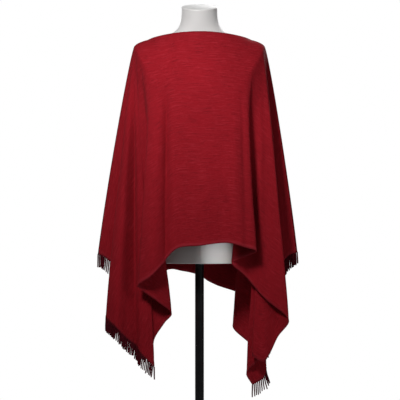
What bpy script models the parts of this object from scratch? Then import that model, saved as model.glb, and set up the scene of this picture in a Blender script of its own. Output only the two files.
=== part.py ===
"""Fringed red poncho hanging on a limbless dress form with a pole and a round base.

Metres, +Z up, the front faces -Y. The origin is the middle of the base's underside.
The cloth is two panels. Each panel is a grid of hang lines: every line starts at the
neckline, passes over the shoulder or the chest and falls to the panel's lower edge.
Two tables give where each line ends; the folds follow from them.
"""
import math

import bpy
import bmesh
from mathutils import Vector

# Cloth
CLOTH_T = 0.0020            # cloth thickness
SEAM_GAP = 0.0003           # space between the two panels at the seam
FRINGE_GAP = 0.0007         # space between a short end and its fringe
NECK_HALF_W = 0.155         # half width of the neck opening
NECK_FRONT_Y = 0.078        # the opening's reach forward
NECK_BACK_Y = 0.080         # the opening's reach backward
NECK_Z = 1.4125             # neckline at the middle
NECK_DROP = 0.75            # how fast the neckline falls toward the shoulders, per metre squared
SHOULDER_X = 0.2055         # shoulder corner, from the middle
SHOULDER_Z = 1.371          # shoulder corner, above the floor
CHEST_Y = 0.152             # where the front leaves the chest
BACK_Y = 0.140              # where the back leaves the shoulder blades
CHEST_Z = 1.205
BLADE_Z = 1.240
SHELF_POWER = 2.3           # squareness of the plan at shoulder and chest
SHELF_RISE = 2.6            # how late the shoulder line climbs toward the corner
NECK_ALONG = 0.75           # a hang line starts this much toward the shoulder line
NECK_OUT = 0.45             # and this much straight forward or back
TOP_PULL = 0.9              # strength of its curve above the shoulder line
TURN_PULL = 1.3             # strength of its curve just below
TURN_REACH = 0.16           # longest reach that the lower curve takes over
FALL_AIM = 0.7              # at its end it aims this much along its own fall
FALL_DOWN = 0.3             # and this much straight down
FALL_PULL = 0.9             # strength of its curve at the end
ROW_SPREAD = 1.1            # over 1 sets the rows closer near the shoulder line
COLUMN_STEP = 0.030         # space aimed at between hang lines along the lower edge
MAX_BETWEEN = 3             # most steps between two rows of a table
ROWS_UPPER = 4              # faces from neckline to shoulder line
ROWS_LOWER = 9              # faces from shoulder line to lower edge

# Fringe
STRAND_STEP = 0.0150        # space aimed at between strands
END_MARGIN = 0.75           # share of the first step left free at a fold end
STRIP_H = 0.0045            # height of the backing strip
STRIP_T = 0.0015            # its thickness
STRAND_LEN = 0.044
STRAND_TIP = 0.35           # tip width as a share of the root width
STRAND_ROOT = 0.00044       # inset of the root from the strip's border
ROOT_SHARE = 0.62           # root size as a share of the inset face
FALL_OUT = 0.15             # a strand leans away from a level edge by this share
FALL_STEEP = 0.7            # and by this much more from an upright edge
STEEP_POWER = 3

# Dress form
CAP_T = 0.005
CAP_TILT = math.radians(14)
CAP_RINGS = [
    # width share, height share
    (1.01, 0.0),
    (1.01, 0.7),
    (0.96, 1.0),
]
NECK_R_X = 0.0560
NECK_R_Y = 0.0580
NECK_TOP_Z = 1.492
FORM_SIDES = 32

# Stand
POLE_R = 0.014
POLE_TOP_Z = 0.6865
BASE_R = 0.165
BASE_T = 0.012
BASE_EDGE = 0.003
POLE_SIDES = 24
SOCKET_R = 0.026
SOCKET_H = 0.030
SOCKET_SLOPE_R = 0.004      # the socket's slanted rim, inward
SOCKET_SLOPE_H = 0.006      # and downward
FIT = 0.0003                # space between pieces that touch
BASE_SIDES = 48

# Where the hang lines of the front panel end, from the left fold end to the right one.
# angle: place on the shoulder line, 0 at the left side, 90 at the middle, 180 at the right.
FRONT_LINES = [
    # name            angle   x       y       z
    ("left_end",        0.0, -0.321,  0.000,  0.714),
    ("left_end_in",     1.6, -0.303, -0.013,  0.708),
    ("left_hidden",     3.4, -0.248, -0.030,  0.655),
    ("left_return",     5.4, -0.264, -0.066,  0.575),
    ("left_drape",      7.6, -0.288, -0.104,  0.522),
    ("left_drape_mid", 10.0, -0.258, -0.140,  0.492),
    ("left_valley",    12.5, -0.222, -0.124,  0.456),
    ("left_low",       14.2, -0.182, -0.128,  0.412),
    ("left_corner",    17.4, -0.141, -0.116,  0.367),
    ("left_hem_4",     22.0, -0.143, -0.092,  0.446),
    ("left_hem_3b",    27.0, -0.109, -0.083,  0.502),
    ("left_hem_3",     30.0, -0.086, -0.097,  0.532),
    ("left_hem_2b",    38.0, -0.130, -0.133,  0.572),
    ("left_hem_2",     48.0, -0.186, -0.156,  0.620),
    ("left_hem_1b",    55.0, -0.152, -0.184,  0.650),
    ("left_hem_1",     62.0, -0.106, -0.180,  0.694),
    ("left_hem_0",     70.0, -0.070, -0.170,  0.736),
    ("middle",         90.0,  0.000, -0.170,  0.745),
    ("right_hem_0",   113.0,  0.084, -0.170,  0.754),
    ("right_hem_1",   123.0,  0.136, -0.178,  0.742),
    ("right_hem_2",   130.0,  0.176, -0.158,  0.728),
    ("right_hem_2b",  136.0,  0.140, -0.131,  0.710),
    ("right_hem_3",   142.0,  0.098, -0.106,  0.692),
    ("right_hem_3b",  148.0,  0.143, -0.088,  0.649),
    ("right_hem_3c",  155.0,  0.208, -0.100,  0.577),
    ("right_hem_4",   161.0,  0.276, -0.118,  0.514),
    ("right_hem_4b",  164.5,  0.246, -0.090,  0.462),
    ("right_hem_5",   166.2,  0.200, -0.106,  0.383),
    ("right_hem_5b",  167.8,  0.166, -0.099,  0.400),
    ("right_hem_5c",  168.8,  0.167, -0.087,  0.400),
    ("right_hem_5d",  169.6,  0.182, -0.078,  0.386),
    ("right_hem_6",   170.6,  0.147, -0.068,  0.345),
    ("right_corner",  171.8,  0.166, -0.057,  0.306),
    ("right_low",     173.6,  0.205, -0.050,  0.334),
    ("right_behind",  175.2,  0.207, -0.039,  0.430),
    ("right_return",  176.9,  0.234, -0.030,  0.550),
    ("right_hidden",  178.2,  0.247, -0.019,  0.650),
    ("right_end_in",  179.2,  0.275, -0.010,  0.705),
    ("right_end",     180.0,  0.309,  0.000,  0.7215),
]

# The same for the back panel, again from left to right.
BACK_LINES = [
    # name            angle   x       y       z
    ("left_end",        0.0, -0.321,  0.000,  0.714),
    ("left_end_in",     1.6, -0.303,  0.013,  0.706),
    ("left_hidden",     3.4, -0.246,  0.030,  0.648),
    ("left_return",     5.4, -0.268,  0.066,  0.570),
    ("left_drape",      7.6, -0.280,  0.104,  0.515),
    ("left_drape_mid", 10.0, -0.244,  0.136,  0.474),
    ("left_valley",    12.4, -0.206,  0.118,  0.440),
    ("left_corner",    15.4, -0.166,  0.122,  0.398),
    ("left_hem_4",     20.0, -0.158,  0.088,  0.468),
    ("left_hem_3b",    25.0, -0.126,  0.078,  0.512),
    ("left_hem_3",     29.0, -0.108,  0.096,  0.540),
    ("left_hem_2b",    37.0, -0.146,  0.130,  0.574),
    ("left_hem_2",     47.0, -0.190,  0.150,  0.604),
    ("left_hem_1b",    54.0, -0.154,  0.180,  0.632),
    ("left_hem_1",     62.0, -0.098,  0.172,  0.660),
    ("left_hem_0",     75.0, -0.052,  0.154,  0.655),
    ("middle",         88.0, -0.006,  0.168,  0.643),
    ("right_hem_0",   102.0,  0.048,  0.152,  0.613),
    ("right_hem_1",   115.0,  0.112,  0.172,  0.590),
    ("right_hem_2b",  123.0,  0.152,  0.172,  0.576),
    ("right_hem_2",   132.0,  0.190,  0.148,  0.560),
    ("right_hem_3b",  140.0,  0.148,  0.124,  0.522),
    ("right_hem_3",   147.0,  0.106,  0.102,  0.481),
    ("right_hem_4",   155.0,  0.152,  0.079,  0.434),
    ("right_corner",  161.0,  0.200,  0.092,  0.392),
    ("right_low",     165.0,  0.224,  0.122,  0.462),
    ("right_drape",   169.0,  0.266,  0.112,  0.540),
    ("right_return",  172.5,  0.252,  0.070,  0.600),
    ("right_hidden",  175.8,  0.236,  0.032,  0.655),
    ("right_end_in",  178.4,  0.290,  0.013,  0.708),
    ("right_end",     180.0,  0.309,  0.000,  0.7215),
]

# Sections of the dress form from its underside up; depths are from the middle plane.
FORM_SECTIONS = [
    # z      half_w  front   back    power
    (0.6870, 0.1440, 0.0950, 0.1020, 2.2),
    (0.7600, 0.1520, 0.1000, 0.1120, 2.2),
    (0.8300, 0.1540, 0.1000, 0.1120, 2.2),
    (0.9300, 0.1360, 0.0940, 0.0940, 2.2),
    (1.0300, 0.1200, 0.0900, 0.0860, 2.2),
    (1.1000, 0.1280, 0.1080, 0.0920, 2.2),
    (1.1500, 0.1380, 0.1420, 0.0980, 2.2),
    (1.1900, 0.1440, 0.1525, 0.1060, 2.2),
    (1.2300, 0.1480, 0.1440, 0.1180, 2.3),
    (1.2800, 0.1560, 0.1240, 0.1260, 2.4),
    (1.3250, 0.1780, 0.1020, 0.1120, 2.6),
    (1.3550, 0.2015, 0.0840, 0.0920, 2.6),
    (1.3690, 0.2015, 0.0740, 0.0820, 2.5),
    (1.3776, 0.1945, 0.0680, 0.0740, 2.4),
    (1.3838, 0.1806, 0.0640, 0.0680, 2.3),
    (1.3884, 0.1666, 0.0610, 0.0640, 2.2),
    (1.3926, 0.1540, 0.0590, 0.0610, 2.1),
    (1.4000, 0.1280, 0.0570, 0.0590, 2.0),
    (1.4080, 0.1000, 0.0560, 0.0575, 2.0),
    (1.4180, 0.0800, 0.0555, 0.0565, 2.0),
    (1.4330, 0.0660, 0.0560, 0.0560, 2.0),
    (1.4530, 0.0590, 0.0570, 0.0565, 2.0),
    (1.4730, 0.0565, 0.0580, 0.0565, 2.0),
]


def clear_scene():
    for item in list(bpy.data.objects):
        bpy.data.objects.remove(item)


def material(name, color, rough, metal=0.0):
    mat = bpy.data.materials.new(name)
    mat.use_nodes = True
    bsdf = mat.node_tree.nodes["Principled BSDF"]
    bsdf.inputs["Base Color"].default_value = (*color, 1.0)
    bsdf.inputs["Roughness"].default_value = rough
    bsdf.inputs["Metallic"].default_value = metal
    return mat


def add_object(name, mesh, mat, group):
    item = bpy.data.objects.new(name, mesh)
    mesh.materials.append(mat)
    group.objects.link(item)
    return item


def spline(points, knots, at):
    """Smooth curve through points (tuples) at rising knots, read at one place."""
    last = len(knots) - 1
    at = min(max(at, knots[0]), knots[-1])
    i = 0
    while i < last - 1 and at > knots[i + 1]:
        i += 1
    span = knots[i + 1] - knots[i]
    f = (at - knots[i]) / span
    out = []
    for k in range(len(points[0])):
        here, there = points[i][k], points[i + 1][k]
        slope = (there - here) / span
        m0 = m1 = slope
        if i > 0:
            m0 = (there - points[i - 1][k]) / (knots[i + 1] - knots[i - 1])
        if i < last - 1:
            m1 = (points[i + 2][k] - here) / (knots[i + 2] - knots[i])
        h00 = 2 * f ** 3 - 3 * f ** 2 + 1
        h10 = f ** 3 - 2 * f ** 2 + f
        h01 = 3 * f ** 2 - 2 * f ** 3
        h11 = f ** 3 - f ** 2
        out.append(h00 * here + h10 * span * m0 + h01 * there + h11 * span * m1)
    return out


def oval(angle, half_w, depth, power):
    """Plan point of a squarish oval; angle 0 is the left side, 90 the middle."""
    c, s = math.cos(math.radians(angle)), math.sin(math.radians(angle))
    x = -half_w * math.copysign(abs(c) ** (2 / power), c)
    return x, depth * abs(s) ** (2 / power)


def neck_point(angle, side):
    """Start of a hang line on the neckline; side is -1 in front and 1 behind."""
    depth = NECK_FRONT_Y if side < 0 else NECK_BACK_Y
    x, y = oval(angle, NECK_HALF_W, depth, 2.0)
    return Vector((x, side * y, NECK_Z - NECK_DROP * x * x))


def shelf_point(angle, side):
    """Where a hang line leaves the shoulder, the chest or the shoulder blade."""
    depth, low = (CHEST_Y, CHEST_Z) if side < 0 else (BACK_Y, BLADE_Z)
    x, y = oval(angle, SHOULDER_X, depth, SHELF_POWER)
    rise = abs(x / SHOULDER_X) ** SHELF_RISE
    return Vector((x, side * y, low + (SHOULDER_Z - low) * rise))


def hermite(p0, t0, p1, t1, f):
    h00 = 2 * f ** 3 - 3 * f ** 2 + 1
    h10 = f ** 3 - 2 * f ** 2 + f
    h01 = 3 * f ** 2 - 2 * f ** 3
    h11 = f ** 3 - f ** 2
    return p0 * h00 + t0 * h10 + p1 * h01 + t1 * h11


def hang_line(angle, end, side, upper, lower):
    """Points of one hang line from the neckline to the lower edge."""
    neck = neck_point(angle, side)
    shelf = shelf_point(angle, side)
    up, down = (shelf - neck), (end - shelf)
    bend = (up.normalized() + down.normalized()).normalized()
    first = up.length * TOP_PULL
    drop = Vector((0, 0, -FALL_DOWN))
    start = (up.normalized() * NECK_ALONG + Vector((0, side * NECK_OUT, 0))).normalized()
    points = []
    for k in range(upper):
        points.append(hermite(neck, start * first, shelf, bend * first, k / upper))
    fall = (down.normalized() * FALL_AIM + drop).normalized()
    turn = bend * min(first, TURN_REACH) * TURN_PULL
    for k in range(lower + 1):
        f = (k / lower) ** ROW_SPREAD
        points.append(hermite(shelf, turn, end, fall * down.length * FALL_PULL, f))
    return points


def edge_knots(table):
    knots = [0.0]
    for a, b in zip(table, table[1:]):
        step = (Vector(b[2:]) - Vector(a[2:])).length
        knots.append(knots[-1] + step)
    return knots


def edge_places(table):
    """Places of the hang lines along the lower edge: each row of the table and some between."""
    knots = edge_knots(table)
    places, rows = [], []
    for k in range(len(knots) - 1):
        span = knots[k + 1] - knots[k]
        steps = min(MAX_BETWEEN, max(1, round(span / COLUMN_STEP)))
        rows.append(len(places))
        places += [knots[k] + span * s / steps for s in range(steps)]
    rows.append(len(places))
    places.append(knots[-1])
    return places, rows


def panel_grid(table, side, places, upper, lower):
    """Middle surface of a panel: one list of points for each hang line."""
    knots = edge_knots(table)
    rows = [row[1:] for row in table]
    grid = []
    for at in places:
        angle, x, y, z = spline(rows, knots, at)
        grid.append(hang_line(angle, Vector((x, y, z)), side, upper, lower))
    return grid


def grid_normals(grid, side):
    """Outward normals of the middle surface; flat in Y at the two side seams."""
    last_c, last_r = len(grid) - 1, len(grid[0]) - 1
    normals = []
    for i, line in enumerate(grid):
        out = []
        for j in range(last_r + 1):
            across = grid[min(i + 1, last_c)][j] - grid[max(i - 1, 0)][j]
            along = line[min(j + 1, last_r)] - line[max(j - 1, 0)]
            n = across.cross(along) * side
            if i in (0, last_c):
                n.y = 0.0
            out.append(n.normalized())
        normals.append(out)
    return normals


def shell_mesh(name, grid, normals, thick):
    """Closed sheet of even thickness about a grid of points."""
    cols, rows = len(grid), len(grid[0])
    verts = []
    for offset in (thick / 2, -thick / 2):
        for i in range(cols):
            for j in range(rows):
                verts.append(grid[i][j] + normals[i][j] * offset)
    half = cols * rows
    faces = []
    for i in range(cols - 1):
        for j in range(rows - 1):
            a, b = i * rows + j, (i + 1) * rows + j
            faces.append((a, b, b + 1, a + 1))
            faces.append((half + a, half + a + 1, half + b + 1, half + b))
    for i in range(cols - 1):
        for j in (0, rows - 1):
            a, b = i * rows + j, (i + 1) * rows + j
            quad = (a, half + a, half + b, b)
            faces.append(quad if j == 0 else quad[::-1])
    for j in range(rows - 1):
        for i in (0, cols - 1):
            a = i * rows + j
            quad = (a, a + 1, half + a + 1, half + a)
            faces.append(quad if i == 0 else quad[::-1])
    mesh = bpy.data.meshes.new(name)
    mesh.from_pydata(verts, [], faces)
    fix_faces(mesh)
    return mesh


def fix_faces(mesh):
    """Turn every face outward."""
    work = bmesh.new()
    work.from_mesh(mesh)
    bmesh.ops.recalc_face_normals(work, faces=work.faces[:])
    if work.calc_volume(signed=True) < 0:
        bmesh.ops.reverse_faces(work, faces=work.faces[:])
    work.to_mesh(mesh)
    work.free()


def cloth_grid(table, side):
    places, rows = edge_places(table)
    grid = panel_grid(table, side, places, ROWS_UPPER, ROWS_LOWER)
    for line in (grid[0], grid[-1]):
        for point in line:
            point.y = side * SEAM_GAP / 2
    return grid, grid_normals(grid, side), rows


def build_panel(name, table, side, mat, group):
    grid, normals, _ = cloth_grid(table, side)
    return add_object(name, shell_mesh(name, grid, normals, CLOTH_T), mat, group)


def build_fringe(name, table, side, first, last, mat, group):
    """Backing strip under a short end of a panel, with its strands."""
    grid, normals, rows = cloth_grid(table, side)
    names = [row[0] for row in table]
    lo, hi = rows[names.index(first)], rows[names.index(last)]
    borders = []
    for i in range(lo, hi + 1):
        before, after = grid[max(i - 1, 0)][-1], grid[min(i + 1, len(grid) - 1)][-1]
        along = (after - before).normalized()
        n = normals[i][-1]
        down = (grid[i][-1] - grid[i][-2]).normalized()
        away = (down - along * down.dot(along)).normalized()
        borders.append((grid[i][-1], away, n, along))
    strip, out, falls = [], [], []
    for k in range(len(borders) - 1):
        (e0, a0, n0, s0), (e1, a1, n1, s1) = borders[k], borders[k + 1]
        steps = max(1, round((e1 - e0).length / STRAND_STEP))
        shares = [s / steps for s in range(steps)]
        if k == 0:
            shares[0] = END_MARGIN / steps
        if k == len(borders) - 2:
            shares.append(1.0 - END_MARGIN / steps)
        for share in shares:
            top = (e0 + a0 * FRINGE_GAP).lerp(e1 + a1 * FRINGE_GAP, share)
            low = (e0 + a0 * (FRINGE_GAP + STRIP_H)).lerp(e1 + a1 * (FRINGE_GAP + STRIP_H), share)
            n = n0.lerp(n1, share)
            strip.append([top, low])
            out.append([n, n])
            lean = FALL_OUT + FALL_STEEP * abs(s0.lerp(s1, share).z) ** STEEP_POWER
            falls.append((Vector((0, 0, -1)) + a0.lerp(a1, share) * lean).normalized())
    mesh = shell_mesh(name, strip, out, STRIP_T)
    work = bmesh.new()
    work.from_mesh(mesh)
    work.verts.ensure_lookup_table()
    work.faces.ensure_lookup_table()
    cols = len(strip)
    low = {i * 2 + 1 for i in range(cols)} | {cols * 2 + i * 2 + 1 for i in range(cols)}
    under = [f for f in work.faces if all(v.index in low for v in f.verts)]
    bmesh.ops.inset_individual(work, faces=under, thickness=STRAND_ROOT, depth=0.0)
    for face in under:
        mid = face.calc_center_median()
        for vert in face.verts:
            vert.co = mid + (vert.co - mid) * ROOT_SHARE
    made = bmesh.ops.extrude_discrete_faces(work, faces=under)["faces"]
    for face, fall in zip(made, falls):
        mid = face.calc_center_median()
        for vert in face.verts:
            vert.co = mid + (vert.co - mid) * STRAND_TIP + fall * STRAND_LEN
    work.to_mesh(mesh)
    work.free()
    fix_faces(mesh)
    return add_object(name, mesh, mat, group)


def build_form(mat, group):
    verts, faces = [], []
    for z, half_w, front, back, power in FORM_SECTIONS:
        for k in range(FORM_SIDES):
            a = 2 * math.pi * k / FORM_SIDES
            c, s = math.cos(a), math.sin(a)
            x = half_w * math.copysign(abs(c) ** (2 / power), c)
            depth = back if s > 0 else front
            verts.append((x, depth * math.copysign(abs(s) ** (2 / power), s), z))
    top = []
    for k in range(FORM_SIDES):
        a = 2 * math.pi * k / FORM_SIDES
        x, y = NECK_R_X * math.cos(a), NECK_R_Y * math.sin(a)
        top.append((x, y, NECK_TOP_Z + y * math.tan(CAP_TILT)))
    verts += top
    levels = len(FORM_SECTIONS) + 1
    for r in range(levels - 1):
        for k in range(FORM_SIDES):
            n = (k + 1) % FORM_SIDES
            faces.append((r * FORM_SIDES + k, r * FORM_SIDES + n,
                          (r + 1) * FORM_SIDES + n, (r + 1) * FORM_SIDES + k))
    faces.append(tuple(reversed(range(FORM_SIDES))))
    faces.append(tuple((levels - 1) * FORM_SIDES + k for k in range(FORM_SIDES)))
    mesh = bpy.data.meshes.new("dress_form")
    mesh.from_pydata(verts, [], faces)
    fix_faces(mesh)
    return add_object("dress_form", mesh, mat, group)


def build_cap(mat, group):
    """Oval plate that closes the neck, tipped forward with it."""
    verts, faces = [], []
    for grow, up in CAP_RINGS:
        for k in range(FORM_SIDES):
            a = 2 * math.pi * k / FORM_SIDES
            x, y = grow * NECK_R_X * math.cos(a), grow * NECK_R_Y * math.sin(a)
            verts.append((x, y, NECK_TOP_Z + FIT + up * CAP_T + y * math.tan(CAP_TILT)))
    for r in range(len(CAP_RINGS) - 1):
        for k in range(FORM_SIDES):
            n = (k + 1) % FORM_SIDES
            faces.append((r * FORM_SIDES + k, r * FORM_SIDES + n,
                          (r + 1) * FORM_SIDES + n, (r + 1) * FORM_SIDES + k))
    faces.append(tuple(reversed(range(FORM_SIDES))))
    faces.append(tuple((len(CAP_RINGS) - 1) * FORM_SIDES + k for k in range(FORM_SIDES)))
    mesh = bpy.data.meshes.new("neck_cap")
    mesh.from_pydata(verts, [], faces)
    fix_faces(mesh)
    return add_object("neck_cap", mesh, mat, group)


def build_turned(name, profile, sides, mat, group):
    """Solid of revolution about Z from (radius, height) pairs that start and end on the axis."""
    mesh = bpy.data.meshes.new(name)
    edges = [(k, k + 1) for k in range(len(profile) - 1)]
    mesh.from_pydata([(r, 0.0, z) for r, z in profile], edges, [])
    item = add_object(name, mesh, mat, group)
    screw = item.modifiers.new("turn", "SCREW")
    screw.steps = screw.render_steps = sides
    screw.use_merge_vertices = True
    screw.merge_threshold = 0.00005
    screw.use_normal_calculate = True
    return item


def main():
    clear_scene()
    group = bpy.data.collections.new("poncho_on_dress_form")
    bpy.context.scene.collection.children.link(group)
    cloth_front = material("red_cloth_front", (0.20, 0.012, 0.020), 0.85)
    cloth_back = material("red_cloth_back", (0.20, 0.012, 0.020), 0.85)
    yarn = material("red_yarn", (0.08, 0.006, 0.012), 0.9)
    shell = material("form_shell", (0.62, 0.60, 0.58), 0.55)
    cap = material("form_cap", (0.62, 0.60, 0.58), 0.5)
    steel = material("dark_steel", (0.02, 0.02, 0.022), 0.35, 0.8)
    foot = material("dark_base", (0.02, 0.02, 0.022), 0.45, 0.8)

    build_panel("front_panel", FRONT_LINES, -1, cloth_front, group)
    build_panel("back_panel", BACK_LINES, 1, cloth_back, group)
    fringes = [
        ("fringe_front_left", FRONT_LINES, -1, "left_end", "left_corner"),
        ("fringe_front_right", FRONT_LINES, -1, "right_corner", "right_end"),
        ("fringe_back_left", BACK_LINES, 1, "left_end", "left_corner"),
        ("fringe_back_right", BACK_LINES, 1, "right_corner", "right_end"),
    ]
    for name, table, side, first, last in fringes:
        build_fringe(name, table, side, first, last, yarn, group)
    build_form(shell, group)
    build_cap(cap, group)
    build_turned("pole", [
        (0.0, BASE_T + FIT), (SOCKET_R, BASE_T + FIT),
        (SOCKET_R, BASE_T + SOCKET_H - SOCKET_SLOPE_H),
        (SOCKET_R - SOCKET_SLOPE_R, BASE_T + SOCKET_H), (POLE_R, BASE_T + SOCKET_H),
        (POLE_R, POLE_TOP_Z), (0.0, POLE_TOP_Z)], POLE_SIDES, steel, group)
    build_turned("base_plate", [
        (0.0, 0.0), (BASE_R - BASE_EDGE, 0.0), (BASE_R, BASE_EDGE),
        (BASE_R, BASE_T - BASE_EDGE), (BASE_R - BASE_EDGE, BASE_T), (0.0, BASE_T)],
        BASE_SIDES, foot, group)


main()
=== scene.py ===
# %% [markdown]
# # A fringed poncho on a dress form
# The garment is two rectangles of soft melange cloth, sewn together along their top edges.
# The seam is left open in the middle, and that slit is the wide boat neck. Worn, the corners
# of the rectangles hang lowest and fall into deep folds at both sides. A smooth limbless
# form carries it, on a pole with a round base.
#
# All sizes are in metres, +Z is up and the front faces -Y.

# %% [markdown]
# ## Start from the fixed solids
# The solids give the real size and what carries what, and they don't change here.

import math

import bpy
import bmesh
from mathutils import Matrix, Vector, noise


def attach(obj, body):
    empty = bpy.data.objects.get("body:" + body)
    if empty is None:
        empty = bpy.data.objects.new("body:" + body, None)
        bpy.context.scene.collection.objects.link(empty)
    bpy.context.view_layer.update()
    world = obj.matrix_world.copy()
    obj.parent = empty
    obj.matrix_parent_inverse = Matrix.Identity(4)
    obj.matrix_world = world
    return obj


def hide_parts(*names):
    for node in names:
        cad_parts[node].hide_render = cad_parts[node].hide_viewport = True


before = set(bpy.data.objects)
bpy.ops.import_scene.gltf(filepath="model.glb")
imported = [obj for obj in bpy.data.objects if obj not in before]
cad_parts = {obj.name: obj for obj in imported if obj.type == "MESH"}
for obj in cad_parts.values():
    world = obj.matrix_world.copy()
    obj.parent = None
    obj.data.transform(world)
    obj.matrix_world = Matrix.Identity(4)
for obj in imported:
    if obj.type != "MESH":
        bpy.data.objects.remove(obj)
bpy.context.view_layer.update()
print("solids:", sorted(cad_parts))

# %% [markdown]
# ## Two small helpers
# A mesh, a lamp or a camera is only data until an object carries it and a collection shows it.
# Nearly every step below needs that, so it is one short function. The other turns the faces of a
# mesh outward, because shading relies on that.

# %% Show data as an object, and turn faces outward
def put(name, data):
    item = bpy.data.objects.new(name, data)
    bpy.context.scene.collection.objects.link(item)
    return item


def turn_outward(mesh):
    work = bmesh.new()
    work.from_mesh(mesh)
    bmesh.ops.recalc_face_normals(work, faces=work.faces[:])
    work.to_mesh(mesh)
    work.free()


# %% [markdown]
# ## Sizes that the looks share with the solids
# A maker of such a cloth knows the width of the neck, the shoulders and the cut, and where
# each fold of the lower edge hangs. These are the same numbers as the solids have. A hang
# line's pulls say how stiffly it leaves the neck, turns at the shoulder and aims downward.

# %% Neck, shoulders, cut and the pull of a hang line
CLOTH_T = 0.0020
SEAM_GAP = 0.0003
NECK_HALF_W = 0.155
NECK_FRONT_Y = 0.078
NECK_BACK_Y = 0.080
NECK_Z = 1.4125
NECK_DROP = 0.75
SHOULDER_X = 0.2055
SHOULDER_Z = 1.371
CHEST_Y = 0.152
BACK_Y = 0.140
CHEST_Z = 1.205
BLADE_Z = 1.240
SHELF_POWER = 2.3
SHELF_RISE = 2.6      # how late the shoulder line climbs toward the corner
NECK_ALONG = 0.75     # a hang line starts this much toward the shoulder line
NECK_OUT = 0.45       # and this much straight forward or back
TOP_PULL = 0.9        # strength of its curve above the shoulder line
TURN_PULL = 1.3       # strength of its curve just below
TURN_REACH = 0.16     # longest reach that the lower curve takes over
FALL_AIM = 0.7        # at its end it aims this much along its own fall
FALL_DOWN = 0.3       # and this much straight down
FALL_PULL = 0.9       # strength of its curve at the end
ROW_SPREAD = 1.1      # over 1 sets the rows closer near the shoulder line
CUT_W = 1.82
FRONT_LENGTH = 0.684
BACK_LENGTH = 0.783
print("cut:", CUT_W, "m wide, front", FRONT_LENGTH, "m and back", BACK_LENGTH, "m deep")

# %% [markdown]
# ### Where the folds of the lower edge hang
# Each row is one line of cloth from the neck down. Its angle goes round the neck from the left
# seam over the middle to the right seam, and x, y and z are its lower end. The rows were placed
# from the picture, fold by fold, and are named by where they are.

# %% Hang lines of the front panel
FRONT_LINES = [
    # name            angle   x       y       z
    ("left_end",        0.0, -0.321,  0.000,  0.714),
    ("left_end_in",     1.6, -0.303, -0.013,  0.708),
    ("left_hidden",     3.4, -0.248, -0.030,  0.655),
    ("left_return",     5.4, -0.264, -0.066,  0.575),
    ("left_drape",      7.6, -0.288, -0.104,  0.522),
    ("left_drape_mid", 10.0, -0.258, -0.140,  0.492),
    ("left_valley",    12.5, -0.222, -0.124,  0.456),
    ("left_low",       14.2, -0.182, -0.128,  0.412),
    ("left_corner",    17.4, -0.141, -0.116,  0.367),
    ("left_hem_4",     22.0, -0.143, -0.092,  0.446),
    ("left_hem_3b",    27.0, -0.109, -0.083,  0.502),
    ("left_hem_3",     30.0, -0.086, -0.097,  0.532),
    ("left_hem_2b",    38.0, -0.130, -0.133,  0.572),
    ("left_hem_2",     48.0, -0.186, -0.156,  0.620),
    ("left_hem_1b",    55.0, -0.152, -0.184,  0.650),
    ("left_hem_1",     62.0, -0.106, -0.180,  0.694),
    ("left_hem_0",     70.0, -0.070, -0.170,  0.736),
    ("middle",         90.0,  0.000, -0.170,  0.745),
    ("right_hem_0",   113.0,  0.084, -0.170,  0.754),
    ("right_hem_1",   123.0,  0.136, -0.178,  0.742),
    ("right_hem_2",   130.0,  0.176, -0.158,  0.728),
    ("right_hem_2b",  136.0,  0.140, -0.131,  0.710),
    ("right_hem_3",   142.0,  0.098, -0.106,  0.692),
    ("right_hem_3b",  148.0,  0.143, -0.088,  0.649),
    ("right_hem_3c",  155.0,  0.208, -0.100,  0.577),
    ("right_hem_4",   161.0,  0.276, -0.118,  0.514),
    ("right_hem_4b",  164.5,  0.246, -0.090,  0.462),
    ("right_hem_5",   166.2,  0.200, -0.106,  0.383),
    ("right_hem_5b",  167.8,  0.166, -0.099,  0.400),
    ("right_hem_5c",  168.8,  0.167, -0.087,  0.400),
    ("right_hem_5d",  169.6,  0.182, -0.078,  0.386),
    ("right_hem_6",   170.6,  0.147, -0.068,  0.345),
    ("right_corner",  171.8,  0.166, -0.057,  0.306),
    ("right_low",     173.6,  0.205, -0.050,  0.334),
    ("right_behind",  175.2,  0.207, -0.039,  0.430),
    ("right_return",  176.9,  0.234, -0.030,  0.550),
    ("right_hidden",  178.2,  0.247, -0.019,  0.650),
    ("right_end_in",  179.2,  0.275, -0.010,  0.705),
    ("right_end",     180.0,  0.309,  0.000,  0.7215),
]
print("hang lines of the front:", len(FRONT_LINES))

# %% [markdown]
# ### The back
# The back isn't seen, so its folds are like the front's. Its first and last lines end in
# the same places as the front's do, because the two panels are sewn together there.

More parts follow.
